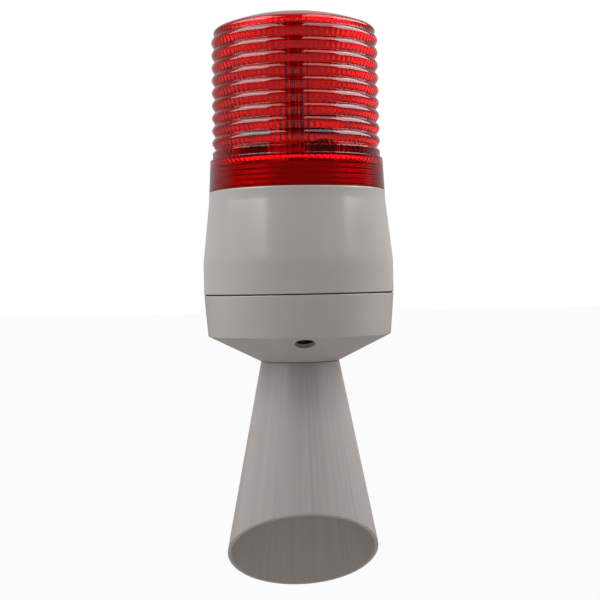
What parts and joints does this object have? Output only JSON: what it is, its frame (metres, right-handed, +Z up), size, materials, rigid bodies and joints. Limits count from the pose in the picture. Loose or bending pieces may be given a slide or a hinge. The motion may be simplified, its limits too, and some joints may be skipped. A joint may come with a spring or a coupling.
{
  "type": "alarm siren",
  "caption": "Wall-mounted audible and visual alarm siren: red ribbed screw-on lens, grey barrel housing and a swivelling oblique horn.",
  "frame": {"origin": "centre of the wall bracket's four holes, on the wall's surface", "axes": "+Z up, +Y into the wall, the siren faces -Y; the turned pieces share the upright line x = 0, y = -0.100 m"},
  "size_m": [0.15, 0.175, 0.4676],
  "materials": {
    "housing_grey": "fine moulded ABS",
    "lens_red": "clear, ribbed polycarbonate",
    "rubber_black": "matt",
    "bracket_steel": "zinc-plated pressing",
    "screw_steel": "zinc-plated",
    "insert_brass": "knurled",
    "driver_aluminium": "cast",
    "magnet_ferrite": "sintered ferrite",
    "pole_steel": "zinc-plated",
    "black_plastic": "moulded",
    "diaphragm_film": "phenolic cloth",
    "coil_copper": "enamelled wire",
    "board_green": "solder mask",
    "terminal_green": "moulded",
    "core_steel": "varnished laminations",
    "winding_tape": "polyester tape",
    "heat_sink_black": "black anodised",
    "knob_white": "moulded",
    "led_white": "clear dome"
  },
  "bodies": {
    "housing": {"amplifier": "black_plastic", "board_pillars": "insert_brass", "board_screws": "screw_steel", "bracket_inserts": "insert_brass", "bracket_screws": "screw_steel", "bracket_washers": "screw_steel", "capacitors": "black_plastic", "clamp_ring": "black_plastic", "column_base": "black_plastic", "column_cap": "black_plastic", "column_core": "driver_aluminium", "control_board": "board_green", "control_chip": "black_plastic", "deck_screws": "screw_steel", "diaphragm_surround": "rubber_black", "driver_cover": "black_plastic", "driver_frame": "driver_aluminium", "driver_gasket": "rubber_black", "driver_screws": "screw_steel", "flash_capacitors": "black_plastic", "heat_sink": "heat_sink_black", "housing_seal": "rubber_black", "lamp_board": "board_green", "lamp_board_screws": "screw_steel", "led_strips": "board_green", "leds": "led_white", "lower_housing": "housing_grey", "magnet": "magnet_ferrite", "phase_plug": "black_plastic", "terminal_block": "terminal_green", "terminal_screws": "screw_steel", "tie_inserts": "insert_brass", "tie_screws": "screw_steel", "tone_switch": "black_plastic", "top_plate": "pole_steel", "transformer_base": "black_plastic", "transformer_core": "core_steel", "transformer_winding": "winding_tape", "upper_housing": "housing_grey", "volume_trimmer": "black_plastic", "wall_bracket": "bracket_steel", "yoke": "pole_steel"},
    "lens_seal_ring": {"lens_seal": "rubber_black"},
    "lens": {"lens": "lens_red"},
    "horn": {"horn": "housing_grey", "horn_retaining_ring": "screw_steel", "horn_o_ring": "rubber_black"},
    "diaphragm": {"diaphragm": "diaphragm_film", "voice_coil": "coil_copper"},
    "volume_knob": {"volume_knob": "knob_white"},
    "tone_slider": {"tone_slider": "knob_white"}
  },
  "joints": [
    {"name": "lens_rise", "type": "slide", "parent": "housing", "child": "lens_seal_ring", "axis": [0, 0, 1], "range_m": [0, 0.008]},
    {"name": "lens_turn", "type": "hinge", "parent": "lens_seal_ring", "child": "lens", "pos_m": [0, -0.1, 0.0449], "axis": [0, 0, 1], "range_deg": [0, 720]},
    {"name": "horn_turn", "type": "hinge", "parent": "housing", "child": "horn", "pos_m": [0, -0.1, -0.0891], "axis": [0, 0, 1], "range_deg": [-180, 180]},
    {"name": "diaphragm_move", "type": "slide", "parent": "housing", "child": "diaphragm", "axis": [0, 0, 1], "range_m": [-0.0004, 0.0004], "stiffness_N_per_m": 4000},
    {"name": "volume_turn", "type": "hinge", "parent": "housing", "child": "volume_knob", "pos_m": [-0.034, -0.122, 0.022], "axis": [0, 0, 1], "range_deg": [-135, 135]},
    {"name": "tone_select", "type": "slide", "parent": "housing", "child": "tone_slider", "axis": [1, 0, 0], "range_m": [0, 0.004]}
  ],
  "couplings": [
    {"joint": "lens_rise", "follows": "lens_turn", "m_per_rad": 0.00063662}
  ]
}
